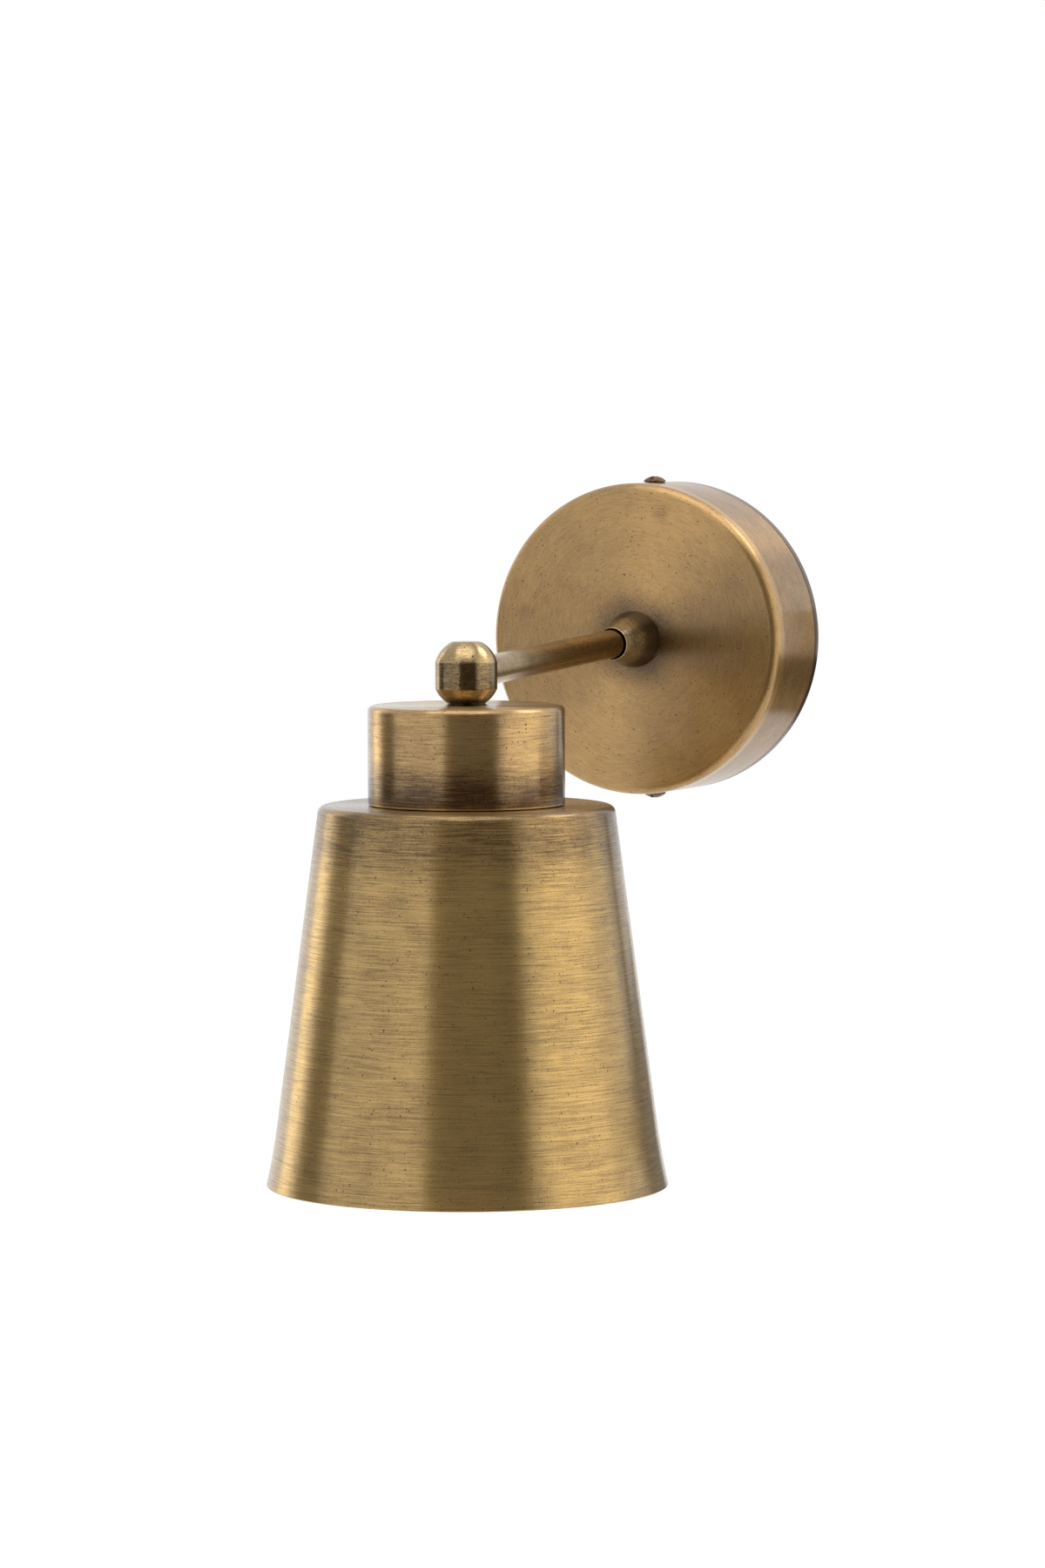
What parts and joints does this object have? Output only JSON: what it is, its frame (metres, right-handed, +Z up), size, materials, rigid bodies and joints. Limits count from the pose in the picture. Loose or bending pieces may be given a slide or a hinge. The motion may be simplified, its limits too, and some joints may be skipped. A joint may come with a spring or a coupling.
{
  "type": "wall light",
  "caption": "Wall light with a round wall box, a short tubular arm, a ball knuckle and a hanging cup and cone shade over a screw-base lampholder.",
  "frame": {"origin": "centre of the round wall box in the wall plane, midway between the two wall slots", "axes": "+Z up, +Y into the wall (the wall is the plane Y = 0), the arm and shade stand out towards -Y, X across"},
  "size_m": [0.1342, 0.2408, 0.2337],
  "materials": {
    "aged_brass": "brushed brass with an antique brown patina",
    "plain_brass": "plain machined or drawn brass",
    "zinc_steel": "zinc-plated steel",
    "spring_steel": "drawn spring wire",
    "black_resin": "moulded black resin, semi-matt",
    "white_ceramic": "glazed white ceramic",
    "white_nylon": "natural moulded nylon",
    "brown_insulation": "extruded wire insulation",
    "blue_insulation": "extruded wire insulation",
    "green_insulation": "extruded wire insulation, green with a yellow stripe"
  },
  "bodies": {
    "wall_mount": {"wall_bracket": "zinc_steel", "canopy": "aged_brass", "arm_collar": "aged_brass", "arm_tube": "aged_brass", "arm_washer": "zinc_steel", "arm_nut": "zinc_steel", "ball_knuckle": "aged_brass", "terminal_block": "white_nylon", "terminal_clamps": "plain_brass", "terminal_screws": "zinc_steel", "terminal_fixing_screw": "zinc_steel", "earth_screw": "zinc_steel", "earth_tag": "zinc_steel", "earth_lead": "green_insulation", "arm_live_lead": "brown_insulation", "arm_neutral_lead": "blue_insulation"},
    "top_screw": {"canopy_screw_top": "aged_brass"},
    "bottom_screw": {"canopy_screw_bottom": "aged_brass"},
    "head": {"neck_washer": "aged_brass", "nipple": "plain_brass", "cup": "aged_brass", "cup_nut": "zinc_steel", "shade": "aged_brass", "lampholder_cap": "black_resin", "lampholder_grub_screw": "zinc_steel", "lampholder_body": "black_resin", "socket_core": "white_ceramic", "socket_shell": "plain_brass", "contact_spring": "spring_steel", "live_terminal": "plain_brass", "neutral_terminal": "plain_brass", "live_terminal_screw": "zinc_steel", "neutral_terminal_screw": "zinc_steel", "head_live_lead": "brown_insulation", "head_neutral_lead": "blue_insulation"},
    "ring": {"shade_ring": "black_resin"},
    "contact": {"centre_contact": "plain_brass"}
  },
  "joints": [
    {"name": "head_swivel", "type": "hinge", "parent": "wall_mount", "child": "head", "pos_m": [0, -0.17375, -0.0064], "axis": [0, 0, 1], "range_deg": [-150, 150]},
    {"name": "shade_ring_turn", "type": "hinge", "parent": "head", "child": "ring", "pos_m": [0, -0.17375, -0.0064], "axis": [0, 0, 1], "continuous": true},
    {"name": "top_screw_turn", "type": "hinge", "parent": "wall_mount", "child": "top_screw", "pos_m": [0, -0.0195, 0.055], "axis": [0, 0, 1], "continuous": true},
    {"name": "bottom_screw_turn", "type": "hinge", "parent": "wall_mount", "child": "bottom_screw", "pos_m": [0, -0.0195, -0.055], "axis": [0, 0, 1], "continuous": true},
    {"name": "centre_contact_press", "type": "slide", "parent": "head", "child": "contact", "axis": [0, 0, 1], "range_m": [0, 0.0015], "stiffness_N_per_m": 2000, "deforming": ["contact_spring"]}
  ]
}
